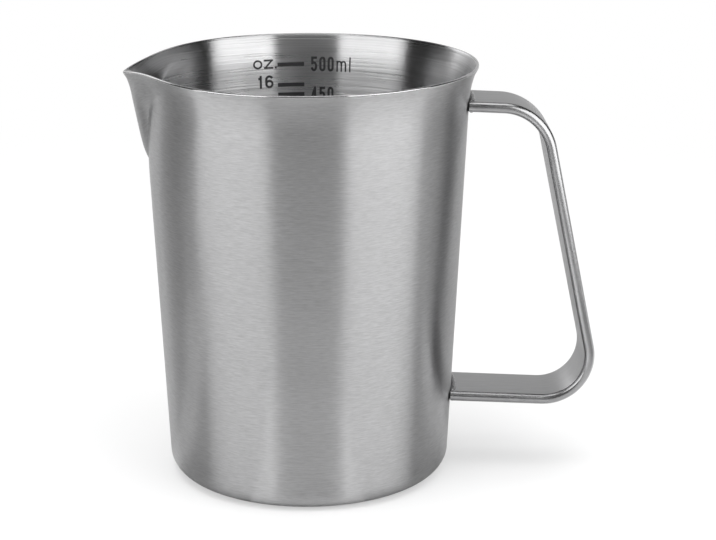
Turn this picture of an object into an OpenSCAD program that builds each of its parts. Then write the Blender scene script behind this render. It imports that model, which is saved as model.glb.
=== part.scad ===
// Stainless measuring jug, 500 ml: a deep-drawn tapered body with a flared rim and a pressed
// pouring spout, and a bent flat strap handle that is butt-welded to the wall at two places.
// Millimetres, +Z up. The origin is on the body's axis, at the plane that the jug stands on.
// The handle points to +X and the spout to -X.

/* [Body] */
// Height of the rim above the resting plane
height = 111; // [90:0.5:150]
// Radius at which the wall's outer line meets the resting plane
base_r = 37.7; // [32:0.1:46]
// Lean of the wall out of the vertical, in degrees
wall_lean = 2.76; // [1:0.01:5]
// Thickness of the drawn sheet
sheet = 0.6; // [0.4:0.05:1.2]
// Outer radius of the corner between the wall and the base
corner_r = 5.2; // [3:0.1:9]

/* [Base] */
// Radius of the raised panel in the middle of the base
panel_r = 28; // [20:0.5:28.5]
// How far the panel stands above the resting plane
panel_rise = 0.8; // [0.3:0.05:1.5]
// Radial width of the step from the panel down to the standing ring
panel_step = 1.6; // [0.8:0.1:2]

/* [Rim] */
// Height of the flared band below the rim
flare_height = 10; // [5:0.5:14]
// How far the rim stands out beyond the wall's straight line
flare_out = 1.95; // [0.8:0.05:3]

/* [Spout] */
// Depth below the rim at which the spout's nose leaves the wall
spout_height = 25; // [18:0.5:30]
// How far the tip stands out beyond the wall's straight line
spout_reach = 5; // [4:0.1:7]
// How far the tip lies below the rim
tip_drop = 2.1; // [0.5:0.1:4]
// Depth of the pressed pocket in which the nose starts
pocket = 0.9; // [0.4:0.05:1.4]
// Height over which the nose swings out of the wall into its straight line
pocket_entry = 2.1; // [1:0.1:4]
// How far the lip curls out beyond the nose's straight line
curl_out = 1; // [0.4:0.05:1.6]
// Height of the curled lip
curl_height = 5.5; // [3:0.25:8]
// Half angle that the spout's creased root would reach at the rim, in degrees
root_angle = 23.5; // [16:0.5:28]
// Height above the start of the nose at which the root's crease begins to fade
crease_height = 9; // [4:0.5:12]
// Half angle over which the lip flows into the rim, in degrees
lip_angle = 40; // [30:0.5:45]
// Roundness of the tip at the rim: 1 gives a pointed beak and 2 a round nose
tip_round = 1.1; // [1:0.05:2]
// Hollowness of the lip's sides at the rim: 1 gives bulging sides and more gives hollow ones
lip_hollow = 3.2; // [2:0.1:5]

/* [Spout shoulders] */
// How far the rim is drawn in beside the spout
draw_in = 2.75; // [0:0.05:3.5]
// Depth below the rim at which the draw-in starts
draw_height = 31; // [31:0.5:40]
// Half angle over which the wall is drawn in, in degrees
draw_angle = 70; // [50:1:80]

/* [Handle] */
// Width of the strap
strap_w = 17.8; // [12:0.1:24]
// Thickness of the strap
strap_t = 2.8; // [1.5:0.1:4]
// Depth of the upper arm's middle below the rim, at the wall
handle_drop = 10.5; // [8:0.1:30]
// Height of the lower arm's middle at the wall
handle_bottom = 20.9; // [14:0.1:40]
// Length of the upper arm, from the wall to where its line meets the grip's
upper_arm = 19.2; // [16:0.1:34]
// Length of the lower arm, from the wall to where its line meets the grip's
lower_arm = 39.9; // [30:0.1:50]
// Bend radius of the strap's middle at the upper corner
upper_bend = 13.5; // [6:0.1:16]
// Bend radius of the strap's middle at the lower corner
lower_bend = 12.1; // [6:0.1:16]

/* [Welds] */
// Gap between the strap's cut end and the wall, which the weld fills
weld_gap = 0.15; // [0.05:0.05:0.4]
// Straight length of each weld bead along the wall
weld_length = 12; // [6:0.5:16]
// How far a weld bead stands above and below the strap
weld_rise = 0.7; // [0.3:0.05:1.5]

/* [Hidden] */
$fn = 240;

// Number of straight facets in a rounded stretch of the body's profile
arc_steps = 12;

// Wall: radius of its straight outer line at a height
function wall_r(z) = base_r + z * tan(wall_lean);
// Radial thickness of the leaning sheet
sheet_r = sheet / cos(wall_lean);

// Base corner: centre of its arc, which touches the resting plane and the wall's line
corner_x = base_r - corner_r * (1 - sin(wall_lean)) / cos(wall_lean);

// Rim flare: an arc that starts along the wall at flare_z and leans out to flare_lean at the rim
flare_z = height - flare_height;
flare_run = flare_height * tan(wall_lean) + flare_out;
flare_lean = 2 * atan(flare_run / flare_height) - wall_lean;
flare_r = flare_height / (sin(flare_lean) - sin(wall_lean));
flare_cx = wall_r(flare_z) + flare_r * cos(wall_lean);
flare_cz = flare_z - flare_r * sin(wall_lean);

// Outer radius of the round body at a height above the base corner
function round_r(z) =
    z <= flare_z ? wall_r(z) : flare_cx - sqrt(flare_r ^ 2 - (z - flare_cz) ^ 2);

// Points of an arc about [cx, cz] in the profile plane
function arc(cx, cz, r, from, to) = [
    for (i = [0 : arc_steps])
        let (a = from + (to - from) * i / arc_steps)
        [cx + r * cos(a), cz + r * sin(a)]
];

// Outer or inner profile of the sheet, from the axis out to the rim; depth is 0 outside and sheet inside
function sheet_profile(depth) = concat(
    [[0, panel_rise + depth], [panel_r, panel_rise + depth], [panel_r + panel_step, depth]],
    arc(corner_x, corner_r, corner_r - depth, -90, -wall_lean),
    arc(flare_cx, flare_cz, flare_r + depth, 180 - wall_lean,
        180 - asin((height - flare_cz) / (flare_r + depth)))
);

function reversed(list) = [for (i = [len(list) - 1 : -1 : 0]) list[i]];

// The round body as a drawn cup, before the spout is pressed
module round_cup() {
    rotate_extrude()
        polygon(concat(sheet_profile(0), reversed(sheet_profile(sheet))));
}

// Solid space that the cup's outside encloses, to fit the welds against
module cup_envelope() {
    rotate_extrude()
        polygon(concat(sheet_profile(0), [[0, height]]));
}

// Spout: heights of its nose line above spout_z, where it leaves the wall
spout_z = height - spout_height;
tip_h = spout_height - tip_drop;
curl_start = tip_h - curl_height;
nose_slope = (spout_reach - pocket - curl_out) / tip_h;

// Nose line: how far the middle of the spout stands out beyond the wall's straight line
function nose_out(h) =
    pocket * (1 - exp(-h / pocket_entry)) + nose_slope * h
    + curl_out * (max(0, h - curl_start) / curl_height) ^ 2;

// How far the spout has changed from its creased root, 0, to its lip at the rim, 1
function fade(x) = let (t = min(1, max(0, x))) t * t * (3 - 2 * t);
function opened(h) = fade((h - crease_height) / (spout_height - crease_height));

// Half angle of the spout's root, which opens as the square root of the height and then into the lip
root_start = 2.5;
function root_half(h) =
    root_start + (root_angle - root_start) * sqrt(max(0, h) / spout_height)
    + (lip_angle - root_angle) * opened(h);

// Section of the spout: an arch that leaves the wall at a crease, and higher up a beak with hollow sides
function section(side, h) =
    let (round_power = 2 - (2 - tip_round) * opened(h), hollow_power = 1 + (lip_hollow - 1) * opened(h))
    abs(side) < 1 ? (1 - abs(side) ^ round_power) ^ hollow_power : 0;

// Draw-in of the wall beside the spout, as the square of the height above its start
draw_z = height - draw_height;
function drawn(angle, z) =
    draw_in * (max(0, z - draw_z) / draw_height) ^ 2
    * (abs(angle) < draw_angle ? cos(90 * angle / draw_angle) ^ 2 : 0);

// Outer radius of the pressed wall; side is the place across the spout, 1 at its root and 0 at its nose
function pressed_r(angle, side, z) =
    let (h = z - spout_z, ring = round_r(z) - drawn(angle, z))
    let (bulge = h > 0 ? max(0, wall_r(z) + nose_out(h) - round_r(z) + drawn(0, z)) : 0)
    ring + bulge * section(side, h);

// The pressed sector is a lofted sheet let into a window of the round cup. Its edges lap into the
// cup by edge_lap, and lap_inset keeps them just inside the faces of the sheet there.
edge_lap = 0.3;
lap_inset = 0.02;
lap_angle = draw_angle + edge_lap;
spout_columns = 20;
shoulder_columns = 12;
spout_rows = 16;
plain_rows = 3;

// Columns across the sector: from -1 to 1 over the spout, and on to -2 and 2 over the shoulders
columns = concat(
    [for (i = [shoulder_columns : -1 : 1]) -1 - i / shoulder_columns],
    [for (i = [0 : spout_columns]) 2 * i / spout_columns - 1],
    [for (i = [1 : shoulder_columns]) 1 + i / shoulder_columns]
);

function column_angle(c, h) =
    abs(c) <= 1 ? c * root_half(h)
    : sign(c) * (root_half(h) + (lap_angle - root_half(h)) * (abs(c) - 1));

// Rows up the sector: plain ones to the start of the nose, then closer ones that spread out upwards
row_power = 1.5;
function row_z(k) =
    k <= plain_rows ? draw_z - edge_lap + (spout_z - draw_z + edge_lap) * k / plain_rows
    : spout_z + (spout_height - lap_inset) * ((k - plain_rows) / spout_rows) ^ row_power;

// The rim dips towards the tip, and the rows above the nose's start close up with it
function column_z(c, k) =
    let (z = row_z(k), dip = tip_drop * section(c, spout_height))
    z - dip * max(0, z - spout_z) / spout_height;

function sector_point(c, k, depth) =
    let (z = column_z(c, k), angle = column_angle(c, z - spout_z))
    let (r = pressed_r(angle, c, z) - depth)
    [-r * cos(angle), r * sin(angle), z];

row_count = plain_rows + spout_rows + 1;
column_count = len(columns);
skin_count = row_count * column_count;

// Two triangles of a four-cornered face
function split(a, b, c, d) = [[a, c, b], [a, d, c]];
function skin_index(layer, k, i) = layer * skin_count + k * column_count + i;
function flat(lists) = [for (list = lists) each list];

sector_points = flat([
    for (depth = [lap_inset, sheet_r - lap_inset])
        [for (k = [0 : row_count - 1]) for (c = columns) sector_point(c, k, depth)]
]);

sector_faces = flat(concat(
    [for (k = [0 : row_count - 2]) for (i = [0 : column_count - 2])
        split(
            skin_index(0, k, i), skin_index(0, k + 1, i),
            skin_index(0, k + 1, i + 1), skin_index(0, k, i + 1)
        )],
    [for (k = [0 : row_count - 2]) for (i = [0 : column_count - 2])
        split(
            skin_index(1, k, i), skin_index(1, k, i + 1),
            skin_index(1, k + 1, i + 1), skin_index(1, k + 1, i)
        )],
    [for (k = [0, row_count - 1]) for (i = [0 : column_count - 2])
        let (a = skin_index(0, k, i), b = skin_index(0, k, i + 1))
        let (c = skin_index(1, k, i + 1), d = skin_index(1, k, i))
        k == 0 ? split(a, b, c, d) : split(d, c, b, a)],
    [for (i = [0, column_count - 1]) for (k = [0 : row_count - 2])
        let (a = skin_index(0, k, i), b = skin_index(0, k + 1, i))
        let (c = skin_index(1, k + 1, i), d = skin_index(1, k, i))
        i == 0 ? split(d, c, b, a) : split(a, b, c, d)]
));

module pressed_sector() {
    polyhedron(sector_points, sector_faces, convexity = 6);
}

// The window that the pressed sector fills
module sector_window() {
    reach = 2 * wall_r(height);
    translate([0, 0, draw_z])
        linear_extrude(draw_height + sheet)
            polygon(concat(
                [[0, 0]],
                [for (i = [-2 : 2]) let (a = i * draw_angle / 2) [-reach * cos(a), reach * sin(a)]]
            ));
}

module body() {
    color("silver") {
        difference() {
            round_cup();
            sector_window();
        }
        pressed_sector();
    }
}

// Handle: both arms leave the wall square to it, so they are drawn in a frame that is turned by the
// wall's lean. In it the wall's line stands upright at arm_u, and arm_v is the place along that line.
arm_u = base_r * cos(wall_lean);
function arm_v(z) = base_r * sin(wall_lean) + z / cos(wall_lean);

module arm_frame() {
    rotate([90, wall_lean, 0])
        children();
}

// Height of the upper arm's middle at the wall
handle_top = height - handle_drop;

// Corners where the middle lines of the arms and the grip meet
upper_corner = [arm_u + upper_arm, arm_v(handle_top)];
lower_corner = [arm_u + lower_arm, arm_v(handle_bottom)];
grip_line = lower_corner - upper_corner;
grip_angle = atan2(grip_line[1], grip_line[0]);
upper_turn = -grip_angle;
lower_turn = 180 + grip_angle;
upper_cut = upper_bend * tan(upper_turn / 2);
lower_cut = lower_bend * tan(lower_turn / 2);

// The grip laps into both bends by grip_lap, and grip_inset makes it slimmer so that it stays inside
// them there.
grip_lap = 0.3;
grip_inset = 0.01;

// Section of the strap: flat faces and full-round edges, width along the second axis
module strap_section(inset = 0) {
    thick = strap_t - 2 * inset;
    flat_w = strap_w - strap_t;
    square([thick, flat_w], center = true);
    for (side = [-1, 1])
        translate([0, side * flat_w / 2])
            intersection() {
                circle(d = thick);
                translate([0, side * thick / 2])
                    square([2 * thick, thick], center = true);
            }
}

// Straight run of strap along X
module run(length, inset = 0) {
    rotate([90, 0, 90])
        linear_extrude(length)
            strap_section(inset);
}

// Bend to the right from along X, through an angle under 180: the part of a full ring that lies
// ahead of its start and behind its end
module bend(radius, angle) {
    side = 2 * (radius + strap_t);
    deep = 2 * strap_w;
    translate([0, -radius, 0])
        intersection() {
            rotate_extrude()
                translate([radius, 0])
                    strap_section();
            translate([0, -side / 2, -deep / 2])
                cube([side, side, deep]);
            rotate([0, 0, -angle])
                translate([-side, -side / 2, -deep / 2])
                    cube([side, side, deep]);
        }
}

// One arm, from its cut end at the wall to the end of its bend
module arm(length, radius, angle) {
    straight = length - weld_gap - radius * tan(angle / 2);
    translate([weld_gap, 0, 0])
        run(straight);
    translate([weld_gap + straight, 0, 0])
        bend(radius, angle);
}

module handle_strap() {
    color("lightgray")
        arm_frame() {
            translate([arm_u, arm_v(handle_top), 0])
                arm(upper_arm, upper_bend, upper_turn);
            translate([arm_u, arm_v(handle_bottom), 0])
                mirror([0, 1, 0])
                    arm(lower_arm, lower_bend, lower_turn);
            translate([upper_corner[0], upper_corner[1], 0])
                rotate([0, 0, grip_angle])
                    translate([upper_cut - grip_lap, 0, 0])
                        run(norm(grip_line) - upper_cut - lower_cut + 2 * grip_lap, grip_inset);
        }
}

// Weld bead between a strap end and the wall, with round ends that stop short of the strap's edges
module weld_bead(z) {
    bead_r = strap_t / 2 + weld_rise;
    difference() {
        arm_frame()
            translate([arm_u, arm_v(z), 0])
                difference() {
                    union() {
                        cylinder(r = bead_r, h = weld_length, center = true);
                        for (end = [-1, 1])
                            translate([0, 0, end * weld_length / 2])
                                sphere(r = bead_r);
                    }
                    translate([weld_gap, 0, 0])
                        run(bead_r);
                }
        cup_envelope();
    }
}

module upper_weld() {
    color("gainsboro") weld_bead(handle_top);
}

module lower_weld() {
    color("gainsboro") weld_bead(handle_bottom);
}

body();
handle_strap();
upper_weld();
lower_weld();
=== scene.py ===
"""Stainless measuring jug: the drawn body with its pressed spout, the bent strap handle, its two
welds and the etched scale on the inner back wall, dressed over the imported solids.

Everything is in metres in the frame of the solids: +Z up from the plane that the jug stands on,
the handle towards +X and the spout towards -X. The camera stands on the -Y side, and the azimuths
of lamps and cards are in degrees from there, towards the handle.
"""

import math

import bmesh
import bpy
import numpy as np
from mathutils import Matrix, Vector


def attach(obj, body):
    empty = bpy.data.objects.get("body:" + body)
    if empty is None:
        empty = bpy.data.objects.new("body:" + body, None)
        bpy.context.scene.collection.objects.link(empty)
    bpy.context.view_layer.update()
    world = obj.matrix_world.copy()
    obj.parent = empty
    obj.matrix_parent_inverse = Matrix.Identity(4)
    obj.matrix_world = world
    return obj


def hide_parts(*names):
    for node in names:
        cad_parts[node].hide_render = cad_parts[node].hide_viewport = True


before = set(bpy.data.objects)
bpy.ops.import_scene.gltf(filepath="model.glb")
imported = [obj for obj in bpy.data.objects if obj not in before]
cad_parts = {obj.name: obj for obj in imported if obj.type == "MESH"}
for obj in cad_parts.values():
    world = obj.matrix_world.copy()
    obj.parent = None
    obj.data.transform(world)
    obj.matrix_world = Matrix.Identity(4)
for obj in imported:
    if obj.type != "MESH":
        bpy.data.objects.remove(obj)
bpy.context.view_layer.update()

MM = 0.001
ML = 0.000001

# Drawn body
HEIGHT = 111 * MM
BASE_R = 37.7 * MM
LEAN = math.radians(2.76)
SHEET = 0.6 * MM
CORNER_R = 5.2 * MM

# Raised panel in the base
PANEL_R = 28 * MM
PANEL_RISE = 0.8 * MM
PANEL_STEP = 1.6 * MM

# Rim flare
FLARE_HEIGHT = 10 * MM
FLARE_OUT = 1.95 * MM

# Cut edge of the rim: its roundings, and how the sheet swells out just below it
RIM_OUTER = 0.33 * MM
RIM_INNER = 0.12 * MM
RIM_UNDERCUT = math.radians(24)
RIM_SWELL = 0.22 * MM
SWELL_DEPTH = 2.2 * MM
SWELL_RUN = 1.5 * MM

# Pressed spout: the nose, its pocket at the root and its curled tip, then the width of the root
SPOUT_HEIGHT = 25 * MM
SPOUT_REACH = 5 * MM
TIP_DROP = 2.1 * MM
POCKET = 0.9 * MM
POCKET_ENTRY = 2.1 * MM
CURL_OUT = 1 * MM
CURL_HEIGHT = 5.5 * MM
ROOT_START = math.radians(2.5)
ROOT_ANGLE = math.radians(15.5)
CREASE_HEIGHT = 14 * MM
LIP_ANGLE = math.radians(40)
TIP_ROUND = 1.1
LIP_HOLLOW = 3.2

# Shoulders drawn in beside the spout
DRAW_IN = 2.75 * MM
DRAW_HEIGHT = 31 * MM
DRAW_ANGLE = math.radians(70)

# Mesh of the body: columns on each stretch round it, and rows from the base up
NOSE_COLUMNS = 72
SHOULDER_COLUMNS = 30
PLAIN_COLUMNS = 58
NOSE_CROWDING = 1.3
EVEN_HALF = math.radians(20)
EVEN_RUN = 30 * MM
PANEL_SHARES = (0.25, 0.5, 0.75, 0.93, 1)
STEP_SHARES = (0.2, 0.4, 0.6, 0.8, 1)
CORNER_ROWS = 15
FIRST_LEVEL = 1.2 * CORNER_R
LOWER_ROWS = 12
DRAWN_ROWS = 6
SPOUT_ROWS = 43
SPOUT_CROWDING = 1.15
SPOUT_ROWS_TOP = HEIGHT - 2.4 * MM
RIM_ROWS = HEIGHT - np.array([2.0, 1.6, 1.25, 0.95, 0.75, 0.62]) * MM
OUTER_EDGE_ROWS = 9
INNER_EDGE_ROWS = 5
LEAST_FACING = 0.7

# Polish of the body's surfaces, from 0 for its brushed outside to 1
RIM_POLISH = 1.0
INSIDE_POLISH = 0.52
BASE_POLISH = 0.5

# Strap handle: a share of its thickness rounds its edges, its cut ends follow a share of the wall's
# curve, and END_SHARE is how far along the path from its middle they lie
STRAP_W = 17.8 * MM
STRAP_T = 2.8 * MM
HANDLE_TOP = 100.5 * MM
HANDLE_BOTTOM = 20.9 * MM
UPPER_ARM = 19.2 * MM
LOWER_ARM = 39.9 * MM
UPPER_BEND = 13.5 * MM
LOWER_BEND = 12.1 * MM
EDGE_ROUND = 0.499
END_FIT = 0.7
END_SHARE = 0.49999
BEND_STEPS = 40
EDGE_STEPS = 9
SHARP_EDGE = math.radians(50)

# Welds
WELD_GAP = 0.15 * MM
WELD_LENGTH = 16.2 * MM
BEAD_RISE = 0.6 * MM
BEAD_DEPTH = 2.4 * MM
BEAD_OUT = 0.75 * MM
BEAD_POINTS = 25
BEAD_STEPS = 140
BEAD_SIDES = 28
RIPPLE_PITCH = 0.8 * MM
RIPPLE_DEPTH = 0.06
TAPER_POWER = 10.0
LEAST_TAPER = 0.0004

# Etched scale on the inner back wall: places run to the right of the wall's middle
FULL_ML = 500
ML_STEP = 50
TOP_OUNCE = 16
OUNCE_STEP = 2
OUNCE_ML = 29.06
MARK_SHIFT = 0.6 * MM
BAR_LENGTH = 7.75 * MM
BAR_HEIGHT = 1.12 * MM
BAR_MIDDLE = -4.57 * MM
BAR_COLUMNS = 12
BAR_ROWS = 4
TURNING_R = 43 * MM
ETCH_LIFT = 0.02 * MM
VOLUME_SLICES = 4000

# Numbers of the scale: each starts below the middle of its mark
BOW_POINTS = 19
STROKE_CUTS = 2
STROKE = 0.66 * MM
ML_LEFT = 1.25 * MM
ML_PITCH = 2.4 * MM
ML_WIDTH = 1.82 * MM
ML_HEIGHT = 4.15 * MM
ML_DROP = 2.05 * MM
OUNCE_LEFT = -14.8 * MM
OUNCE_PITCH = 2.6 * MM
OUNCE_WIDTH = 2.5 * MM
OUNCE_HEIGHT = 3.65 * MM
OUNCE_DROP = 0.8 * MM
ONE_WIDTH = 1.7 * MM
ONE_INSET = 0.1 * MM
LEAST_SPAN = 0.01 * MM

# Units at the top mark, in millimetres: sign, left, width, drop, height and stroke
UNIT_SIGNS = [
    ("m", 8.65, 2.9, 2.05, 3.1, 0.45),
    ("l", 12.4, 0.45, 2.05, 4.15, 0.42),
    ("o", -15.7, 2.8, 1.05, 2.6, 0.5),
    ("z", -12.45, 2.75, 1.05, 2.6, 0.5),
    (".", -9.25, 0.6, 1.05, 0.62, 0.58),
]

# Finishes
OUTSIDE_STEEL = (0.525, 0.525, 0.53, 1)
# The inside's colour is painted lighter than the outside's, to brighten its reflections
INSIDE_LIGHTENED_STEEL = (0.63, 0.63, 0.635, 1)
BRUSHED_ROUGHNESS = 0.42
POLISHED_ROUGHNESS = 0.16
STRAP_FACE_STEEL = (0.47, 0.47, 0.475, 1)
# Round edges of the strap: painted shade, darker than the faces to dim their highlights
STRAP_EDGE_SHADED_STEEL = (0.44, 0.44, 0.445, 1)
STRAP_FACE_ROUGHNESS = 0.36
STRAP_EDGE_ROUGHNESS = 0.26
WELD_METAL = (0.5, 0.5, 0.505)
WELD_ROUGHNESS = 0.26
ETCH_DARK = (0.012, 0.012, 0.013, 1)
ETCH_PALE = (0.035, 0.035, 0.037, 1)

# Brushed grain: its masks, its relief, and how far each mask changes the shade and the roughness
STREAK_STRETCH = (0.07, 0.07, 0.5)
SCRATCH_STRETCH = (0.25, 0.25, 0.9)
SCRATCH_START = 0.66
SCRATCH_FULL = 0.74
GRAIN_DEPTH = 0.02 * MM
STREAK_DEPTH = 0.08 * MM
SCRATCH_DEPTH = 0.2
LINE_SHADE = 0.14
LINE_ROUGHNESS = 0.1
PATCH_ROUGHNESS = 0.06
SCRATCH_ROUGHNESS = 0.05
STREAK_SHARE = 0.7

# Paper on the floor: from the start to the end of each reach it turns plain white in reflections, and
# for the camera, which sees a share of white even beside the jug
PAPER_DARK = (0.89, 0.89, 0.89, 1)
PAPER_PALE = (0.91, 0.91, 0.91, 1)
PAPER_ROUGHNESS = 0.9
FLOOR_REACH = 4.0
MIRROR_START = 0.2
MIRROR_END = 0.5
WHITE_START = 0.12
WHITE_END = 0.45
LEAST_WHITE = 0.45

# Grey cards on the floor: a painted shadow dims them up to the shade's reach, then they are in their near
# tone, then in their far one
CARD_START = 0.0346
CARD_LIFT = 0.4 * MM
CARD_STEPS = 25
PAINTED_SHADOW_REACH = 0.06
PAINTED_SHADOW_LEVEL = 0.72
NEAR_END = 0.1
FAR_START = 0.2

# Cards: name, start and end azimuth, reach, and reflectance near the jug and further out
CARDS = [
    ("front_card", -26, 24, 1.5, 0.95, 0.38),
    ("right_card", 24, 86, 0.58, 0.6, 0.2),
    ("right_edge_card", 86, 112, 1.5, 0.95, 0.8),
    ("right_back_card", 112, 150, 1.5, 0.55, 0.5),
    ("back_card", 150, 210, 1.5, 0.4, 0.58),
    ("left_back_card", 210, 262, 1.5, 0.6, 0.48),
    ("left_edge_card", 262, 282, 1.5, 0.95, 0.6),
    ("left_card", 282, 334, 0.58, 0.6, 0.2),
]

# Lamps: name, azimuth, distance from the axis, size, height, radiance and the height aimed at
LAMPS = [
    ("left_softbox", -53.2, 0.35, (0.367, 0.394), 0.247, 2.1, 0.247),
    ("right_softbox", 54.3, 0.35, (0.384, 0.394), 0.247, 2.42, 0.247),
    ("front_fill", 0, 1.2, (1.2, 1.2), 0.7, 0.08, 0.1),
    ("overhead_panel", 0, 0.0001, (1.2, 1.2), 1.6, 1.6, 0),
    ("back_panel", 180, 1.3, (3.2, 1.2), 0.62, 0.57, 0.62),
    ("back_left_panel", -146, 1.3, (0.7, 0.57), 0.67, 1.1, 0.67),
]
ROOM_GREY = (0.028, 0.028, 0.028, 1)
WASH_STRENGTH = 2.0
WASH_ANGLE = math.radians(70)

# Camera, from the pinhole that was fitted to the photograph
LENS = 100.56
SENSOR = 36
EYE = (0, -0.5164, 0.2069)
EYE_HEADING = 0.0260
EYE_PITCH = 0.2873
CLIP_START = 0.01

# Shape of the body

TAN_LEAN = math.tan(LEAN)
FLARE_Z = HEIGHT - FLARE_HEIGHT
FLARE_LEAN = 2 * math.atan((FLARE_HEIGHT * TAN_LEAN + FLARE_OUT) / FLARE_HEIGHT) - LEAN
FLARE_R = FLARE_HEIGHT / (math.sin(FLARE_LEAN) - math.sin(LEAN))
FLARE_CX = BASE_R + FLARE_Z * TAN_LEAN + FLARE_R * math.cos(LEAN)
FLARE_CZ = FLARE_Z - FLARE_R * math.sin(LEAN)
CORNER_X = BASE_R - CORNER_R * (1 - math.sin(LEAN)) / math.cos(LEAN)
CORNER_TOP = CORNER_R * (1 - math.sin(LEAN))
SPOUT_Z = HEIGHT - SPOUT_HEIGHT
DRAW_Z = HEIGHT - DRAW_HEIGHT
TIP_H = SPOUT_HEIGHT - TIP_DROP
CURL_START = TIP_H - CURL_HEIGHT
NOSE_SLOPE = (SPOUT_REACH - POCKET - CURL_OUT) / TIP_H


def fade(x):
    """A smooth step from 0 to 1."""
    t = np.clip(x, 0, 1)
    return t * t * (3 - 2 * t)


def wall_r(z):
    """Outer radius of the wall's straight line."""
    return BASE_R + z * TAN_LEAN


def round_r(z):
    """Outer radius of the round body, flare included."""
    flare = FLARE_CX - np.sqrt(FLARE_R**2 - (np.maximum(z, FLARE_Z) - FLARE_CZ) ** 2)
    return np.where(z <= FLARE_Z, wall_r(z), flare)


def nose_out(h):
    """How far the spout's nose stands out beyond the wall's straight line, h above its start."""
    curl = CURL_OUT * (np.maximum(0, h - CURL_START) / CURL_HEIGHT) ** 2
    return POCKET * (1 - np.exp(-h / POCKET_ENTRY)) + NOSE_SLOPE * h + curl


def opened(h):
    """How far the spout has changed from its creased root, 0, to its lip at the rim, 1."""
    return fade((h - CREASE_HEIGHT) / (SPOUT_HEIGHT - CREASE_HEIGHT))


def root_half(h):
    """Half angle of the spout's root. Below the nose the mesh columns spread out evenly again."""
    creased = ROOT_START + (ROOT_ANGLE - ROOT_START) * np.sqrt(np.maximum(0, h) / SPOUT_HEIGHT)
    lip = (LIP_ANGLE - ROOT_ANGLE) * opened(h)
    return creased + lip + (EVEN_HALF - ROOT_START) * fade(-h / EVEN_RUN)


def section(side, h):
    """Section of the spout: an arch at the creased root, and higher up a beak with hollow sides."""
    arch = 1 - np.minimum(1, np.abs(side)) ** (2 - (2 - TIP_ROUND) * opened(h))
    return np.maximum(0, arch) ** (1 + (LIP_HOLLOW - 1) * opened(h))


def drawn(angle, z):
    """Draw-in of the wall beside the spout."""
    share = (np.maximum(0, z - DRAW_Z) / DRAW_HEIGHT) ** 2
    return DRAW_IN * share * np.cos(np.minimum(np.abs(angle) / DRAW_ANGLE, 1) * math.pi / 2) ** 2


def pressed_r(angle, side, z):
    """Outer radius of the pressed wall; side is 0 at the spout's nose and 1 at its root."""
    h = np.maximum(0, z - SPOUT_Z)
    beyond = wall_r(z) + nose_out(h) - round_r(z) + drawn(0 * z, z)
    bulge = np.where(h > 0, np.maximum(0, beyond), 0)
    return round_r(z) - drawn(angle, z) + bulge * section(side, h)


def column_angle(place, z):
    """Angle of a mesh column from the spout.

    Places run from 0 at the nose to 1 over the spout, 2 over the shoulder and 3 at the handle.
    """
    half = root_half(z - SPOUT_Z)
    far = np.abs(place)
    spout = far * half
    shoulder = half + (DRAW_ANGLE - half) * (far - 1)
    plain = DRAW_ANGLE + (math.pi - DRAW_ANGLE) * (far - 2)
    return np.sign(place) * np.where(far <= 1, spout, np.where(far <= 2, shoulder, plain))


def base_profile(depth):
    """Radius and height along the base and its corner; depth is 0 outside and the sheet inside."""
    panel = [(share * PANEL_R, PANEL_RISE + depth) for share in PANEL_SHARES]
    step = [
        (PANEL_R + share * PANEL_STEP, PANEL_RISE * (1 - float(fade(share))) + depth)
        for share in STEP_SHARES
    ]
    corner = [
        (CORNER_X + (CORNER_R - depth) * math.cos(a), CORNER_R + (CORNER_R - depth) * math.sin(a))
        for a in np.linspace(-math.pi / 2, -LEAN, CORNER_ROWS)
    ]
    return panel + step + corner


def body_columns():
    """Places of the mesh columns, from the handle along the front to the spout and back behind it."""
    nose = np.linspace(-1, 1, NOSE_COLUMNS, endpoint=False)
    return np.concatenate([
        np.linspace(-3, -2, PLAIN_COLUMNS, endpoint=False),
        np.linspace(-2, -1, SHOULDER_COLUMNS, endpoint=False),
        np.sign(nose) * np.abs(nose) ** NOSE_CROWDING,
        np.linspace(1, 2, SHOULDER_COLUMNS, endpoint=False),
        np.linspace(2, 3, PLAIN_COLUMNS, endpoint=False),
    ])


def body_levels():
    """Heights of the mesh rows of the wall, before the spout's tip is let down."""
    return np.concatenate([
        [FIRST_LEVEL],
        np.linspace(CORNER_R, DRAW_Z, LOWER_ROWS)[1:],
        np.linspace(DRAW_Z, SPOUT_Z, DRAWN_ROWS)[1:],
        SPOUT_Z + (SPOUT_ROWS_TOP - SPOUT_Z) * np.linspace(0, 1, SPOUT_ROWS)[1:] ** SPOUT_CROWDING,
        RIM_ROWS,
        [HEIGHT - RIM_INNER, HEIGHT],
    ])


def wall_grid(places, levels):
    """Angle, height, and outer, swollen and inner radius of the wall over its rows and columns."""
    place, level = np.meshgrid(places, levels)
    let_down = TIP_DROP * section(place, SPOUT_HEIGHT)
    z = level - let_down * np.maximum(0, level - SPOUT_Z) / SPOUT_HEIGHT
    angle = column_angle(place, z)
    outer = pressed_r(angle, place, z)
    swollen = outer + RIM_SWELL * fade((level - HEIGHT + SWELL_DEPTH) / SWELL_RUN)

    # The sheet keeps its thickness where the wall turns away from the radius
    points = np.stack([-outer * np.cos(angle), outer * np.sin(angle), z], axis=-1)
    around = np.roll(points, -1, axis=1) - np.roll(points, 1, axis=1)
    normal = np.cross(np.gradient(points, axis=0), around)
    normal /= np.linalg.norm(normal, axis=-1, keepdims=True)
    out = np.stack([-np.cos(angle), np.sin(angle), 0 * angle], axis=-1)
    facing = np.abs((normal * out).sum(-1))
    inner = outer - SHEET / np.maximum(LEAST_FACING, facing)
    return angle, z, outer, swollen, inner


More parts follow.
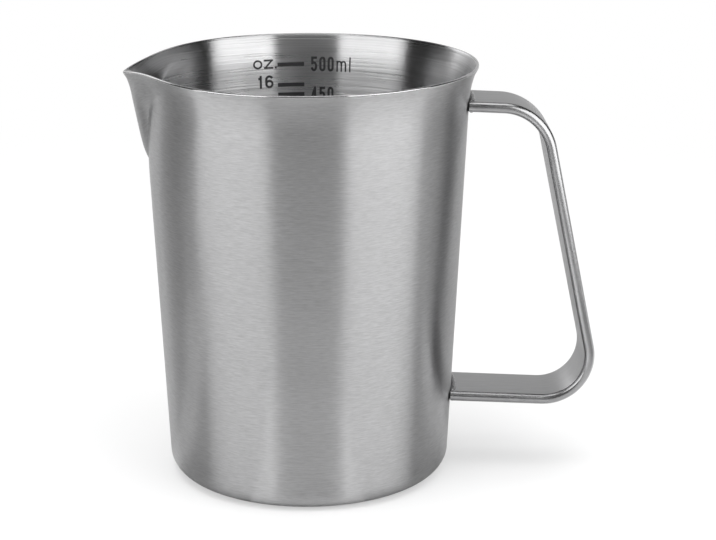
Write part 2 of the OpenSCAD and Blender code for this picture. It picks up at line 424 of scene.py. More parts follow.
def body_rows(places, levels):
    """Rows of the skin from the base's middle, up the outside, over the rim and down the inside.

    A row holds the radius, angle and height at each column, its polish, and 1 where it is inside.
    """
    angle, z, outer, swollen, inner = wall_grid(places, levels)
    zero_row = 0 * places
    base_turn = column_angle(places, zero_row)
    below_edge = range(len(levels) - 2)
    rows = []
    for radius, height in base_profile(0):
        shine = BASE_POLISH * max(0, 1 - height / CORNER_R)
        rows.append((zero_row + radius, base_turn, zero_row + height, shine, 0.0))
    for k in below_edge:
        rows.append((swollen[k], angle[k], z[k], 0.0, 0.0))
    for turn in np.linspace(-RIM_UNDERCUT, math.pi / 2, OUTER_EDGE_ROWS):
        radius = outer[-1] - RIM_OUTER * (1 - math.cos(turn))
        height = z[-1] - RIM_OUTER * (1 - math.sin(turn))
        rows.append((radius, angle[-1], height, RIM_POLISH, 0.0))
    for turn in np.linspace(0, math.pi / 2, INNER_EDGE_ROWS)[:-1]:
        radius = inner[-1] + RIM_INNER * (1 - math.sin(turn))
        height = z[-1] - RIM_INNER * (1 - math.cos(turn))
        rows.append((radius, angle[-1], height, RIM_POLISH, 0.0))
    for k in range(len(levels) - 2, -1, -1):
        rows.append((inner[k], angle[k], z[k], INSIDE_POLISH, 1.0))
    for radius, height in reversed(base_profile(SHEET)):
        rows.append((zero_row + radius, base_turn, zero_row + height, INSIDE_POLISH, 1.0))
    return rows


def jug_body(material):
    """The drawn sheet: outside, rounded rim edge and inside as one closed skin."""
    places = body_columns()
    rows = body_rows(places, body_levels())
    count = len(places)
    verts = [(0, 0, PANEL_RISE)]
    polish = [0.0]
    inside = [0.0]
    for radius, turn, height, shine, within in rows:
        verts += zip(-radius * np.cos(turn), radius * np.sin(turn), height)
        polish += [shine] * count
        inside += [within] * count
    verts.append((0, 0, PANEL_RISE + SHEET))
    polish.append(INSIDE_POLISH)
    inside.append(1.0)
    last = len(verts) - 1
    faces = []
    for j in range(count):
        k = (j + 1) % count
        faces.append((0, 1 + j, 1 + k))
        faces.append((last, last - count + k, last - count + j))
        for i in range(len(rows) - 1):
            lower = 1 + i * count
            upper = lower + count
            faces.append((lower + j, upper + j, upper + k, lower + k))
    piece = skin("jug_body", verts, faces, material)
    for name, values in (("polish", polish), ("inside", inside)):
        piece.data.attributes.new(name, "FLOAT", "POINT").data.foreach_set("value", values)
    return piece


def skin(name, verts, faces, material):
    """A smooth mesh piece with its faces turned outwards."""
    mesh = bpy.data.meshes.new(name)
    mesh.from_pydata([tuple(map(float, v)) for v in verts], [], faces)
    shape = bmesh.new()
    shape.from_mesh(mesh)
    bmesh.ops.recalc_face_normals(shape, faces=shape.faces)
    shape.to_mesh(mesh)
    shape.free()
    mesh.shade_smooth()
    mesh.materials.append(material)
    return placed(name, mesh)


def placed(name, data):
    """A new object in the scene, at the origin."""
    piece = bpy.data.objects.new(name, data)
    bpy.context.scene.collection.objects.link(piece)
    return piece


# Node trees


class Tree:
    """A node tree under construction: nodes are added with their settings and values, and linked."""

    def __init__(self, tree):
        self.nodes = tree.nodes
        self.links = tree.links

    def add(self, kind, settings=None, **values):
        """A new node. Values go to its inputs by name, with _ for a space."""
        node = self.nodes.new(kind)
        for key, value in (settings or {}).items():
            setattr(node, key, value)
        for key, value in values.items():
            self.feed(node.inputs[key.replace("_", " ")], value)
        return node

    def out(self, kind, settings=None, **values):
        """The first output of a new node."""
        return self.add(kind, settings, **values).outputs[0]

    def feed(self, socket, value):
        """Links an output to a socket, or sets the socket to a plain value."""
        if isinstance(value, bpy.types.NodeSocket):
            self.links.new(value, socket)
        else:
            socket.default_value = value

    def math(self, operation, *values):
        node = self.add("ShaderNodeMath", {"operation": operation})
        for socket, value in zip(node.inputs, values):
            self.feed(socket, value)
        return node.outputs[0]

    def vector(self, operation, *values):
        node = self.add("ShaderNodeVectorMath", {"operation": operation})
        for socket, value in zip(node.inputs, values):
            self.feed(socket, value)
        return node.outputs["Value" if operation == "LENGTH" else "Vector"]

    def remap(self, value, low, high, to_low, to_high):
        ends = {"From_Min": low, "From_Max": high, "To_Min": to_low, "To_Max": to_high}
        return self.out("ShaderNodeMapRange", Value=value, **ends)

    def vary(self, value, mask, amount):
        """A value that a mask round one half raises and lowers."""
        return self.math("MULTIPLY_ADD", self.math("SUBTRACT", mask, 0.5), amount, value)

    def blend(self, share, first, second):
        node = self.add("ShaderNodeMix", {"data_type": "RGBA"})
        self.feed(node.inputs["Factor"], share)
        self.feed(node.inputs[6], first)
        self.feed(node.inputs[7], second)
        return node.outputs[2]

    def noise(self, place, scale, detail, roughness):
        return self.out("ShaderNodeTexNoise", Vector=place, Scale=scale, Detail=detail, Roughness=roughness)

    def attribute(self, name):
        return self.add("ShaderNodeAttribute", {"attribute_name": name}).outputs["Fac"]

    def place(self):
        """Where a point of a piece lies, for its materials."""
        return self.add("ShaderNodeTexCoord").outputs["Object"]


def new_group(kind, name, inputs, outputs):
    """A node group with named sockets, given with their types."""
    group = bpy.data.node_groups.new(name, kind)
    for side, sockets in (("INPUT", inputs), ("OUTPUT", outputs)):
        for label, socket_type in sockets.items():
            group.interface.new_socket(label, in_out=side, socket_type="NodeSocket" + socket_type)
    tree = Tree(group)
    return group, tree, tree.add("NodeGroupInput").outputs, tree.add("NodeGroupOutput").inputs


def hairline_group():
    """Brushed grain: fine short lines, longer streaks, cloudy patches and a few scratches.

    Along and Across are the cells of the noise in a metre, on the first two axes and on the third.
    """
    group, tree, given, put = new_group(
        "ShaderNodeTree",
        "hairline_grain",
        {"Vector": "Vector", "Along": "Float", "Across": "Float"},
        {"Lines": "Float", "Streaks": "Float", "Patches": "Float", "Scratches": "Float"},
    )
    cells = tree.out("ShaderNodeCombineXYZ", X=given["Along"], Y=given["Along"], Z=given["Across"])
    brushed = tree.vector("MULTIPLY", given["Vector"], cells)
    tree.feed(put["Lines"], tree.noise(brushed, scale=1.0, detail=3.0, roughness=0.65))
    drawn_out = tree.vector("MULTIPLY", brushed, STREAK_STRETCH)
    tree.feed(put["Streaks"], tree.noise(drawn_out, scale=1.0, detail=1.0, roughness=0.5))
    patches = tree.noise(given["Vector"], scale=55.0, detail=2.0, roughness=0.5)
    tree.feed(put["Patches"], patches)
    long_lines = tree.vector("MULTIPLY", brushed, SCRATCH_STRETCH)
    peaks = tree.noise(long_lines, scale=1.0, detail=1.0, roughness=0.4)
    tree.feed(put["Scratches"], tree.remap(peaks, SCRATCH_START, SCRATCH_FULL, 0.0, 1.0))
    return group


def brushed_grain(tree, grain_group, place, along, across):
    """The masks of the brushed grain at a place, by name."""
    node = tree.add("ShaderNodeGroup", {"node_tree": grain_group}, Vector=place, Along=along, Across=across)
    return dict(node.outputs.items())


def new_material(name):
    """A material, its tree and its Principled BSDF."""
    material = bpy.data.materials.new(name)
    material.use_nodes = True
    return material, Tree(material.node_tree), material.node_tree.nodes["Principled BSDF"]


def steel(tree, surface, grain, colour, roughness, bump):
    """Colour, roughness and relief of a steel surface from its brushed grain. Returns the relief."""
    shade = tree.remap(grain["Lines"], 0.3, 0.7, 1 - LINE_SHADE, 1 + LINE_SHADE)
    tree.feed(surface.inputs["Base Color"], tree.vector("MULTIPLY", colour, shade))
    cloudy = tree.vary(roughness, grain["Patches"], PATCH_ROUGHNESS)
    lined = tree.vary(cloudy, grain["Lines"], LINE_ROUGHNESS)
    scratched = tree.math("MULTIPLY_ADD", grain["Scratches"], SCRATCH_ROUGHNESS, lined)
    tree.feed(surface.inputs["Roughness"], scratched)
    height = tree.math("MULTIPLY_ADD", grain["Scratches"], -SCRATCH_DEPTH, grain["Lines"])
    relief = tree.out("ShaderNodeBump", Strength=bump, Distance=GRAIN_DEPTH, Height=height)
    tree.feed(surface.inputs["Normal"], relief)
    surface.inputs["Metallic"].default_value = 1.0
    return relief


def body_steel(grain_group):
    """Fine brushed sheet with its grain round the body: deeper streaks inside, rings on the base. The
    inside is painted lighter than the outside, to brighten its reflections.
    """
    material, tree, surface = new_material("body_steel")
    place = tree.place()
    axes = tree.add("ShaderNodeSeparateXYZ", Vector=place).outputs
    radius = tree.vector("LENGTH", tree.vector("MULTIPLY", place, (1.0, 1.0, 0.0)))
    across = tree.math("ADD", axes["Z"], radius)
    turned = tree.out("ShaderNodeCombineXYZ", X=axes["X"], Y=axes["Y"], Z=across)
    grain = brushed_grain(tree, grain_group, turned, along=380.0, across=3600.0)
    polish = tree.attribute("polish")
    inside = tree.attribute("inside")
    # Painted light: the inside gets a lighter colour than the outside to brighten its reflections
    colour = tree.blend(inside, OUTSIDE_STEEL, INSIDE_LIGHTENED_STEEL)
    rough = tree.math("MULTIPLY_ADD", polish, POLISHED_ROUGHNESS - BRUSHED_ROUGHNESS, BRUSHED_ROUGHNESS)

    # Inside, calm streaks take the place of the fine lines, and there are no scratches
    lines = grain["Lines"]
    calm = tree.math("MULTIPLY_ADD", grain["Streaks"], STREAK_SHARE, (1 - STREAK_SHARE) / 2)
    grain["Lines"] = tree.math("MULTIPLY_ADD", inside, tree.math("SUBTRACT", calm, lines), lines)
    outside = tree.math("SUBTRACT", 1.0, inside)
    grain["Scratches"] = tree.math("MULTIPLY", grain["Scratches"], outside)
    fine = steel(tree, surface, grain, colour, rough, bump=0.25)
    streaks = tree.math("MULTIPLY", grain["Streaks"], inside)
    deep = tree.out("ShaderNodeBump", Strength=1.0, Distance=STREAK_DEPTH, Height=streaks, Normal=fine)
    tree.feed(surface.inputs["Normal"], deep)

    # The gloss is drawn out across the grain
    surface.inputs["Anisotropic"].default_value = 1.0
    surface.inputs["Anisotropic Rotation"].default_value = 0.25
    tangent = tree.out("ShaderNodeTangent", {"direction_type": "RADIAL", "axis": "Z"})
    tree.feed(surface.inputs["Tangent"], tangent)
    return material


def strap_steel(grain_group):
    """Satin flat faces brushed along the strap, and smoother round edges, painted darker as painted shade
    to dim their highlights.
    """
    material, tree, surface = new_material("strap_steel")
    across = tree.attribute("across")
    place = tree.out("ShaderNodeCombineXYZ", X=tree.attribute("along"), Y=0.0, Z=across)
    grain = brushed_grain(tree, grain_group, place, along=110.0, across=3200.0)
    edge_start = STRAP_W / 2 - 0.5 * STRAP_T
    edge_full = STRAP_W / 2 - 0.3 * STRAP_T
    edge = tree.remap(tree.math("ABSOLUTE", across), edge_start, edge_full, 0.0, 1.0)
    # The round edges get painted shade: a darker colour that tones down their highlights
    colour = tree.blend(edge, STRAP_FACE_STEEL, STRAP_EDGE_SHADED_STEEL)
    smoother = STRAP_EDGE_ROUGHNESS - STRAP_FACE_ROUGHNESS
    rough = tree.math("MULTIPLY_ADD", edge, smoother, STRAP_FACE_ROUGHNESS)
    steel(tree, surface, grain, colour, rough, bump=0.08)
    return material


def weld_steel(grain_group):
    """Ground weld metal: a little darker and smoother than the sheet's outside."""
    material, tree, surface = new_material("weld_steel")
    grain = brushed_grain(tree, grain_group, tree.place(), along=900.0, across=1600.0)
    steel(tree, surface, grain, WELD_METAL, WELD_ROUGHNESS, bump=0.2)
    return material


def scale_etch():
    """Dark etched marks, slightly uneven."""
    material, tree, surface = new_material("scale_etch")
    cloud = tree.noise(tree.place(), scale=900.0, detail=3.0, roughness=0.6)
    tree.feed(surface.inputs["Base Color"], tree.blend(cloud, ETCH_DARK, ETCH_PALE))
    tree.feed(surface.inputs["Roughness"], tree.remap(cloud, 0.3, 0.7, 0.42, 0.58))
    surface.inputs["Metallic"].default_value = 0.0
    return material


# Pieces that follow a path or a surface


def shaped_by(name, source, group, values):
    """Runs a geometry tree over a source mesh and keeps the result as a plain mesh piece."""
    carrier = placed(name + "_source", source)
    modifier = carrier.modifiers.new(group.name, "NODES")
    modifier.node_group = group
    for item in group.interface.items_tree:
        if item.in_out == "INPUT" and item.name in values:
            modifier[item.identifier] = values[item.name]
    bpy.context.view_layer.update()
    depsgraph = bpy.context.evaluated_depsgraph_get()
    mesh = bpy.data.meshes.new_from_object(
        carrier.evaluated_get(depsgraph), preserve_all_data_layers=True, depsgraph=depsgraph
    )
    carrier.modifiers.clear()
    bpy.data.objects.remove(carrier)
    mesh.name = name
    return placed(name, mesh)


def polyline(name, points):
    """A mesh of points joined by edges, as a path for a geometry tree."""
    mesh = bpy.data.meshes.new(name)
    mesh.from_pydata([tuple(p) for p in points], [(i, i + 1) for i in range(len(points) - 1)], [])
    return mesh


def stored(tree, geometry, name, value):
    """Geometry that keeps a value on its points under a name."""
    return tree.out("GeometryNodeStoreNamedAttribute", Geometry=geometry, Name=name, Value=value)


def named(tree, name):
    """A value that the geometry keeps under a name."""
    return tree.add("GeometryNodeInputNamedAttribute", Name=name).outputs["Attribute"]


def finished(tree, geometry, material):
    """Geometry made real, with its material."""
    whole = tree.out("GeometryNodeRealizeInstances", Geometry=geometry)
    return tree.out("GeometryNodeSetMaterial", Geometry=whole, Material=material)


def filleted(tree, curve, steps, radius):
    """A curve with its corners rounded in straight steps."""
    return tree.out("GeometryNodeFilletCurve", {"mode": "POLY"}, Curve=curve, Count=steps, Radius=radius)


def strap_group():
    """A path with two rounded corners, swept by a flat section with full-round edges."""
    group, tree, given, put = new_group(
        "GeometryNodeTree",
        "bent_strap",
        {
            "Path": "Geometry",
            "Width": "Float",
            "Thickness": "Float",
            "Upper Bend": "Float",
            "Lower Bend": "Float",
            "End Hollow": "Float",
            "End Direction": "Vector",
            "Bend Steps": "Int",
            "Edge Steps": "Int",
            "Material": "Material",
        },
        {"Strap": "Geometry"},
    )

    # The path has its own radius at each corner, and its points keep their length and share along it
    path = tree.out("GeometryNodeMeshToCurve", Mesh=given["Path"])
    first = tree.math("COMPARE", tree.out("GeometryNodeInputIndex"), 1.0, 0.1)
    swing = tree.math("SUBTRACT", given["Upper Bend"], given["Lower Bend"])
    radius = tree.math("MULTIPLY_ADD", first, swing, given["Lower Bend"])
    bent = filleted(tree, path, given["Bend Steps"], radius)
    spline = tree.add("GeometryNodeSplineParameter").outputs
    measured = stored(tree, bent, "along", spline["Length"])
    marked = stored(tree, measured, "share", spline["Factor"])

    # The points of the section keep their place across the strap
    size = {"Width": given["Width"], "Height": given["Thickness"]}
    flat = tree.out("GeometryNodeCurvePrimitiveQuadrilateral", **size)
    edge = tree.math("MULTIPLY", given["Thickness"], EDGE_ROUND)
    rounded = filleted(tree, flat, given["Edge Steps"], edge)
    position = tree.out("GeometryNodeInputPosition")
    side = tree.add("ShaderNodeSeparateXYZ", Vector=position).outputs["X"]
    profile = stored(tree, rounded, "across", side)
    swept = tree.out("GeometryNodeCurveToMesh", Curve=marked, Profile_Curve=profile, Fill_Caps=True)

    # The cut ends are hollowed to the wall's curve
    from_middle = tree.math("ABSOLUTE", tree.math("SUBTRACT", named(tree, "share"), 0.5))
    at_end = tree.math("GREATER_THAN", from_middle, END_SHARE)
    off_middle = named(tree, "across")
    hollow = tree.math("MULTIPLY", tree.math("MULTIPLY", off_middle, off_middle), given["End Hollow"])
    reach = tree.vector("MULTIPLY", given["End Direction"], hollow)
    fitted = tree.out("GeometryNodeSetPosition", Geometry=swept, Selection=at_end, Offset=reach)
    tree.feed(put["Strap"], finished(tree, fitted, given["Material"]))
    return group


ARM_OUT = Vector((math.cos(LEAN), 0, -math.sin(LEAN)))


def on_wall(z):
    """Point of the wall's outer line under the handle."""
    return Vector((wall_r(z), 0, z))


def handle_strap(material):
    """The bent strap, from the gap at its upper weld to the gap at its lower one."""
    points = [
        on_wall(HANDLE_TOP) + WELD_GAP * ARM_OUT,
        on_wall(HANDLE_TOP) + UPPER_ARM * ARM_OUT,
        on_wall(HANDLE_BOTTOM) + LOWER_ARM * ARM_OUT,
        on_wall(HANDLE_BOTTOM) + WELD_GAP * ARM_OUT,
    ]
    values = {
        "Width": STRAP_W,
        "Thickness": STRAP_T,
        "Upper Bend": UPPER_BEND,
        "Lower Bend": LOWER_BEND,
        "End Hollow": END_FIT / (2 * wall_r(HANDLE_TOP)),
        "End Direction": -ARM_OUT,
        "Bend Steps": BEND_STEPS,
        "Edge Steps": EDGE_STEPS,
        "Material": material,
    }
    piece = shaped_by("strap_handle", polyline("strap_path", points), strap_group(), values)
    piece.data.shade_smooth()
    piece.data.set_sharp_from_angle(angle=SHARP_EDGE)
    return piece


def weld_group():
    """A low bead along a path, with ripples and tapered ends."""
    group, tree, given, put = new_group(
        "GeometryNodeTree",
        "weld_bead",
        {
            "Path": "Geometry",
            "Height": "Float",
            "Depth": "Float",
            "Ripple Pitch": "Float",
            "Ripple Depth": "Float",
            "Steps": "Int",
            "Material": "Material",
        },
        {"Bead": "Geometry"},
    )
    path = tree.out("GeometryNodeMeshToCurve", Mesh=given["Path"])
    fine = tree.out("GeometryNodeResampleCurve", Curve=path, Count=given["Steps"])

    # The bead's size along its path
    spline = tree.add("GeometryNodeSplineParameter").outputs
    turns = tree.math("DIVIDE", spline["Length"], given["Ripple Pitch"])
    ripple = tree.math("ABSOLUTE", tree.math("SINE", tree.math("MULTIPLY", turns, math.pi)))
    valley = tree.math("SUBTRACT", 1.0, given["Ripple Depth"])
    rippled = tree.math("MULTIPLY_ADD", ripple, given["Ripple Depth"], valley)
    from_middle = tree.math("ABSOLUTE", tree.math("MULTIPLY_ADD", spline["Factor"], 2.0, -1.0))
    left = tree.math("SUBTRACT", 1.0, tree.math("POWER", from_middle, TAPER_POWER))
    taper = tree.math("SQRT", tree.math("MAXIMUM", left, LEAST_TAPER))
    size = tree.math("MULTIPLY", rippled, taper)

    # An oval section
    circle = tree.out("GeometryNodeCurvePrimitiveCircle", Resolution=BEAD_SIDES, Radius=0.5)
    extent = tree.out("ShaderNodeCombineXYZ", X=given["Depth"], Y=given["Height"], Z=1.0)
    oval = tree.out("GeometryNodeTransform", Geometry=circle, Scale=extent)
    sweep = {"Curve": fine, "Profile_Curve": oval, "Scale": size, "Fill_Caps": True}
    swept = tree.out("GeometryNodeCurveToMesh", **sweep)
    tree.feed(put["Bead"], finished(tree, swept, given["Material"]))
    return group


def weld_bead(name, z, group, material):
    """The weld at one end of the strap, along the wall's curve."""
    radius = wall_r(z) + BEAD_OUT
    turns = np.linspace(-1, 1, BEAD_POINTS) * (WELD_LENGTH / 2 / radius)
    points = [(radius * math.cos(a), radius * math.sin(a), z) for a in turns]
    values = {
        "Height": STRAP_T + 2 * BEAD_RISE,
        "Depth": BEAD_DEPTH,
        "Ripple Pitch": RIPPLE_PITCH,
        "Ripple Depth": RIPPLE_DEPTH,
        "Steps": BEAD_STEPS,
        "Material": material,
    }
    piece = shaped_by(name, polyline(name + "_path", points), group, values)
    piece.data.shade_smooth()
    return piece


# Etched scale


def scale_level(volume_ml):
    """Height at which the jug holds a volume; the marks below the top one sit slightly high."""
    corner = np.array(base_profile(SHEET))[-CORNER_ROWS:]
    heights = np.linspace(SHEET, HEIGHT, VOLUME_SLICES)
    in_corner = np.interp(heights, corner[:, 1], corner[:, 0])
    in_wall = round_r(heights) - SHEET / math.cos(LEAN)
    radius = np.where(heights < CORNER_TOP, in_corner, in_wall)
    held = np.cumsum(math.pi * radius**2) * (heights[1] - heights[0])
    held -= math.pi * (PANEL_R + PANEL_STEP / 2) ** 2 * PANEL_RISE
    shift = MARK_SHIFT if volume_ml < FULL_ML else 0
    return float(np.interp(volume_ml * ML, held, heights)) + shift


MILLILITRES = [(volume, scale_level(volume)) for volume in range(ML_STEP, FULL_ML + 1, ML_STEP)]
OUNCES = [
    (volume, scale_level(volume * OUNCE_ML))
    for volume in range(OUNCE_STEP, TOP_OUNCE + 1, OUNCE_STEP)
]


def bow(x, y, wide, high, start, end):
    """Points of an elliptic arc, in degrees from the right."""
    turns = np.radians(np.linspace(start, end, BOW_POINTS))
    return [(x + wide * math.cos(a), y + high * math.sin(a)) for a in turns]


def sign_strokes(sign, ex, ey):
    """Middle lines of a sign's strokes in a unit square.

    ex and ey, half a stroke in that square, carry a line's end out to the outside of the strokes.
    """
    stem = [(0.5, -ey), (0.5, 1 + ey)]
    return {
        "0": [bow(0.5, 0.78, 0.5, 0.22, 0, 180) + bow(0.5, 0.22, 0.5, 0.22, 180, 360) + [(1, 0.78)]],
        "1": [[(0.8, -ey), (0.8, 1 + ey)], [(0.8, 0.94), (0.55, 0.83), (0.1, 0.8)]],
        "2": [bow(0.5, 0.74, 0.5, 0.26, 165, -25) + [(0.04, 0.02)], [(-ex, 0), (1 + ex, 0)]],
        "3": [bow(0.45, 0.76, 0.5, 0.24, 160, -90), bow(0.45, 0.26, 0.55, 0.26, 90, -160)],
        "4": [[(0.72, -ey), (0.72, 1 + ey)], [(0.66, 1), (0, 0.28)], [(-ex, 0.26), (1 + ex, 0.26)]],
        "5": [
            [(0.02, 1), (0.94 + ex, 1)],
            [(0.06, 1 + ey), (0.06, 0.46)],
            bow(0.46, 0.31, 0.54, 0.31, 140, -165),
        ],
        "6": [bow(0.5, 0.29, 0.5, 0.29, 0, 360), [(0, 0.29)] + bow(0.5, 0.7, 0.5, 0.3, 180, 25)],
        "8": [bow(0.5, 0.77, 0.44, 0.23, 0, 360), bow(0.5, 0.28, 0.5, 0.28, 0, 360)],
        "m": [
            [(0, -ey), (0, 1 + ey)],
            [(0, 0.5)] + bow(0.25, 0.7, 0.25, 0.3, 180, 0) + [(0.5, -ey)],
            [(0.5, 0.5)] + bow(0.75, 0.7, 0.25, 0.3, 180, 0) + [(1, -ey)],
        ],
        "o": [bow(0.5, 0.5, 0.5, 0.5, 0, 360)],
        "z": [[(-ex, 1), (1 + ex, 1)], [(0.95, 1), (0.05, 0)], [(-ex, 0), (1 + ex, 0)]],
        "l": [stem],
        ".": [stem],
    }[sign]


def scale_signs():
    """Every sign of the scale as (sign, left, width, bottom, height, stroke)."""
    signs = []
    for volume, level in MILLILITRES:
        for i, digit in enumerate(str(volume)):
            left = ML_LEFT + ML_PITCH * i
            signs.append((digit, left, ML_WIDTH, level - ML_DROP, ML_HEIGHT, STROKE))
    for volume, level in OUNCES:
        empty = len(str(TOP_OUNCE)) - len(str(volume))
        for i, digit in enumerate(str(volume)):
            narrow = digit == "1"
            left = OUNCE_LEFT + OUNCE_PITCH * (empty + i) + (ONE_INSET if narrow else 0)
            width = ONE_WIDTH if narrow else OUNCE_WIDTH
            signs.append((digit, left, width, level - OUNCE_DROP, OUNCE_HEIGHT, STROKE))
    top = MILLILITRES[-1][1]
    for sign, left, width, drop, height, stroke in UNIT_SIGNS:
        signs.append((sign, left * MM, width * MM, top - drop * MM, height * MM, stroke * MM))
    return signs


def scale_strokes():
    """The middle lines of all signs as one flat mesh: x runs to the right and y up the wall."""
    verts = []
    edges = []
    widths = []
    for sign, left, width, bottom, height, stroke in scale_signs():
        half = stroke / 2
        across = max(width - stroke, LEAST_SPAN)
        up = max(height - stroke, LEAST_SPAN)
        for path in sign_strokes(sign, half / across, half / up):
            edges += [(len(verts) + i, len(verts) + i + 1) for i in range(len(path) - 1)]
            verts += [(left + half + x * across, bottom + half + y * up, 0) for x, y in path]
            widths += [stroke] * len(path)
    mesh = bpy.data.meshes.new("scale_strokes")
    mesh.from_pydata(verts, edges, [])
    mesh.attributes.new("stroke", "FLOAT", "POINT").data.foreach_set("value", widths)
    return mesh


def wrap_group():
    """Lays flat artwork on the inside of a wall: x becomes the turn about the axis and y the height."""
    group, tree, given, put = new_group(
        "GeometryNodeTree",
        "lay_on_wall",
        {"Artwork": "Geometry", "Wall": "Object", "Turning Radius": "Float", "Lift": "Float"},
        {"Laid": "Geometry"},
    )
    position = tree.out("GeometryNodeInputPosition")
    place = tree.add("ShaderNodeSeparateXYZ", Vector=position).outputs
    turn = tree.math("DIVIDE", place["X"], given["Turning Radius"])
    sine = tree.math("SINE", turn)
    cosine = tree.math("COSINE", turn)
    out = tree.out("ShaderNodeCombineXYZ", X=sine, Y=cosine, Z=0.0)
    start = tree.out("ShaderNodeCombineXYZ", X=0.0, Y=0.0, Z=place["Y"])
    wall = tree.add("GeometryNodeObjectInfo", Object=given["Wall"]).outputs["Geometry"]
    aim = {"Source_Position": start, "Ray_Direction": out, "Ray_Length": 2 * BASE_R}
    hit = tree.add("GeometryNodeRaycast", Target_Geometry=wall, **aim).outputs["Hit Position"]
    lifted = tree.vector("MULTIPLY", out, tree.math("MULTIPLY", given["Lift"], -1.0))
    spot = tree.vector("ADD", hit, lifted)
    laid = tree.out("GeometryNodeSetPosition", Geometry=given["Artwork"], Position=spot)
    tree.feed(put["Laid"], laid)
    return group


def marks_group(wrap):
    """A bar at each level of the scale and a ribbon along each stroke of its signs, laid on the wall."""
    group, tree, given, put = new_group(
        "GeometryNodeTree",
        "etched_scale",
        {
            "Levels": "Geometry",
            "Strokes": "Object",
            "Wall": "Object",
            "Bar Length": "Float",
            "Bar Height": "Float",
            "Turning Radius": "Float",
            "Lift": "Float",
            "Material": "Material",
        },
        {"Scale": "Geometry"},
    )
    size = {"Size_X": given["Bar Length"], "Size_Y": given["Bar Height"]}
    bar = tree.out("GeometryNodeMeshGrid", Vertices_X=BAR_COLUMNS, Vertices_Y=BAR_ROWS, **size)
    bars = tree.out("GeometryNodeInstanceOnPoints", Points=given["Levels"], Instance=bar)

    lines = tree.add("GeometryNodeObjectInfo", Object=given["Strokes"]).outputs["Geometry"]
    paths = tree.out("GeometryNodeMeshToCurve", Mesh=lines)
    smooth = tree.out("GeometryNodeSubdivideCurve", Curve=paths, Cuts=STROKE_CUTS)
    flat = tree.out("GeometryNodeCurvePrimitiveLine", Start=(-0.5, 0, 0), End=(0.5, 0, 0))
    sweep = {"Curve": smooth, "Profile_Curve": flat, "Scale": named(tree, "stroke")}
    ribbons = tree.out("GeometryNodeCurveToMesh", **sweep)

    joined = tree.add("GeometryNodeJoinGeometry")
    for part in (bars, ribbons):
        tree.feed(joined.inputs[0], part)
    whole = tree.out("GeometryNodeRealizeInstances", Geometry=joined.outputs[0])
    laid = tree.out(
        "GeometryNodeGroup",
        {"node_tree": wrap},
        Artwork=whole,
        Wall=given["Wall"],
        Turning_Radius=given["Turning Radius"],
        Lift=given["Lift"],
    )
    tree.feed(put["Scale"], finished(tree, laid, given["Material"]))
    return group


def etched_scale(body, material):
    """Bars and signs on the inner back wall, at the heights where the jug holds those volumes."""
    levels = bpy.data.meshes.new("scale_levels")
    levels.from_pydata([(BAR_MIDDLE, level, 0) for _, level in MILLILITRES + OUNCES], [], [])
    strokes = placed("scale_strokes", scale_strokes())
    values = {
        "Strokes": strokes,
        "Wall": body,
        "Bar Length": BAR_LENGTH,
        "Bar Height": BAR_HEIGHT,
        "Turning Radius": TURNING_R,
        "Lift": ETCH_LIFT,
        "Material": material,
    }
    piece = shaped_by("etched_scale", levels, marks_group(wrap_group()), values)
    bpy.data.objects.remove(strokes)
    return piece


# Stage


def paper(name):
    """A matt material without gloss, for the floor and its cards."""
    material, tree, surface = new_material(name)
    surface.inputs["Roughness"].default_value = PAPER_ROUGHNESS
    surface.inputs["Specular IOR Level"].default_value = 0.0
    return material, tree, surface


def studio_floor():
    """A wide sheet of pale paper that keeps the jug's shadow and is plain white further out."""
    material, tree, surface = paper("paper_floor")
    place = tree.place()
    cloud = tree.noise(place, scale=30.0, detail=2.0, roughness=0.5)
    tree.feed(surface.inputs["Base Color"], tree.blend(cloud, PAPER_DARK, PAPER_PALE))
    white = tree.out("ShaderNodeEmission", Color=(1, 1, 1, 1), Strength=1.0)
    rays = tree.add("ShaderNodeLightPath").outputs
    radius = tree.vector("LENGTH", place)
    reflected = tree.math("MAXIMUM", rays["Is Glossy Ray"], rays["Is Transmission Ray"])
    mirror_white = tree.remap(radius, MIRROR_START, MIRROR_END, 0.0, 1.0)
    mirrored = tree.math("MULTIPLY", reflected, mirror_white)
    camera_white = tree.remap(radius, WHITE_START, WHITE_END, LEAST_WHITE, 1.0)
    direct = tree.math("MULTIPLY", rays["Is Camera Ray"], camera_white)
    mixed = tree.add("ShaderNodeMixShader")
    shares = (tree.math("MAXIMUM", mirrored, direct), surface.outputs[0], white)
    for socket, value in zip(mixed.inputs, shares):
        tree.feed(socket, value)
    tree.feed(tree.nodes["Material Output"].inputs["Surface"], mixed.outputs[0])
    corners = [(x * FLOOR_REACH, y * FLOOR_REACH, 0) for x, y in ((-1, -1), (1, -1), (1, 1), (-1, 1))]
    floor = skin("floor", corners, [(0, 1, 2, 3)], material)


def grey_card(name, start, end, far, near_tone, far_tone):
    """A card on the floor that only reflections see: a sector about the jug.

    It is darkened close to the jug by a painted shadow, and its tone changes further out.
    """
    material, tree, surface = paper(name)
    radius = tree.vector("LENGTH", tree.place())
    # Painted shadow: the card is darkened close to the jug, where the jug's own shadow falls
    painted_shadow_fade = tree.remap(radius, CARD_START, PAINTED_SHADOW_REACH, PAINTED_SHADOW_LEVEL, 1.0)
    still_near = tree.remap(radius, NEAR_END, FAR_START, 1.0, 0.0)
    lit = tree.blend(still_near, (far_tone, far_tone, far_tone, 1), (near_tone, near_tone, near_tone, 1))
    tree.feed(surface.inputs["Base Color"], tree.blend(painted_shadow_fade, (0, 0, 0, 1), lit))
    turns = np.radians(np.linspace(start, end, CARD_STEPS))
    ends = (CARD_START, far)
    verts = [(r * math.sin(a), -r * math.cos(a), CARD_LIFT) for a in turns for r in ends]
    faces = [(2 * i, 2 * i + 1, 2 * i + 3, 2 * i + 2) for i in range(CARD_STEPS - 1)]
    card = skin(name, verts, faces, material)
    card.visible_camera = False
    card.visible_shadow = False
    card.visible_diffuse = False


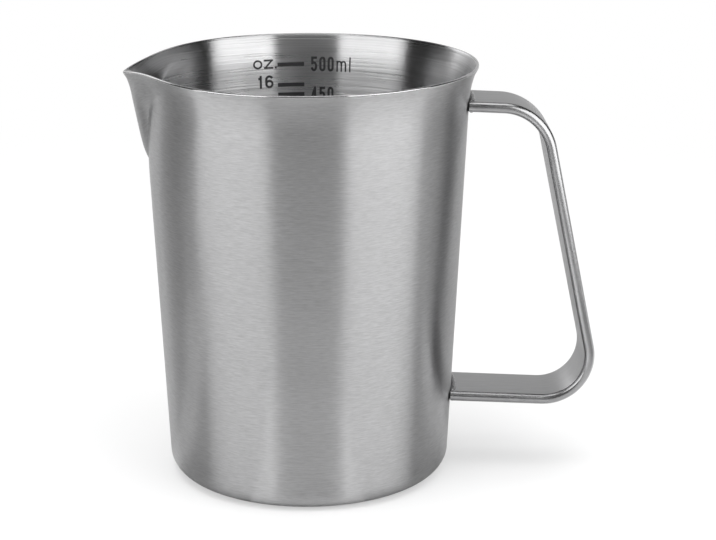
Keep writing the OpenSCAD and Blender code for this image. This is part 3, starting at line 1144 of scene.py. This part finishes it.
def softbox(name, azimuth, distance, size, lift, radiance, aim_lift):
    """A rectangular lamp that faces a point of the jug's axis, and that the camera doesn't see."""
    light = bpy.data.lights.new(name, "AREA")
    light.shape = "RECTANGLE"
    light.size, light.size_y = size
    light.energy = radiance * math.pi * size[0] * size[1]
    lamp = placed(name, light)
    turn = math.radians(azimuth)
    lamp.location = (distance * math.sin(turn), -distance * math.cos(turn), lift)
    facing = Vector((0, 0, aim_lift)) - lamp.location
    lamp.rotation_euler = facing.to_track_quat("-Z", "Y").to_euler()
    lamp.visible_camera = False


def studio_light():
    """Softboxes beside the camera, a weak fill, panels above and behind, and a wash for the floor."""
    world = bpy.data.worlds.new("studio")
    bpy.context.scene.world = world
    world.use_nodes = True
    world.node_tree.nodes["Background"].inputs["Color"].default_value = ROOM_GREY
    for lamp in LAMPS:
        softbox(*lamp)
    light = bpy.data.lights.new("floor_wash", "SUN")
    light.energy = WASH_STRENGTH
    light.angle = WASH_ANGLE
    wash = placed("floor_wash", light)
    wash.visible_glossy = False


def photo_camera():
    """The photograph's viewpoint."""
    camera = bpy.data.cameras.new("camera")
    camera.lens = LENS
    camera.sensor_width = SENSOR
    camera.sensor_fit = "HORIZONTAL"
    camera.clip_start = CLIP_START
    eye = placed("camera", camera)
    level = math.cos(EYE_PITCH)
    look = Vector((math.sin(EYE_HEADING) * level, math.cos(EYE_HEADING) * level, -math.sin(EYE_PITCH)))
    eye.location = EYE
    eye.rotation_euler = look.to_track_quat("-Z", "Y").to_euler()
    bpy.context.scene.camera = eye


# Assembly

hairlines = hairline_group()
weld_metal = weld_steel(hairlines)
bead = weld_group()

body = jug_body(body_steel(hairlines))
dressed = [
    (body, "body", "body_steel"),
    (handle_strap(strap_steel(hairlines)), "handle_strap", "strap_steel"),
    (weld_bead("upper_bead", HANDLE_TOP, bead, weld_metal), "upper_weld", "weld_steel"),
    (weld_bead("lower_bead", HANDLE_BOTTOM, bead, weld_metal), "lower_weld", "weld_steel"),
]
for piece, node, slot in dressed:
    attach(piece, "root")
    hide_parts(node)
scale = etched_scale(body, scale_etch())
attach(scale, "root")

studio_floor()
for card in CARDS:
    grey_card(*card)
studio_light()
photo_camera()
bpy.context.scene.view_settings.view_transform = "Standard"
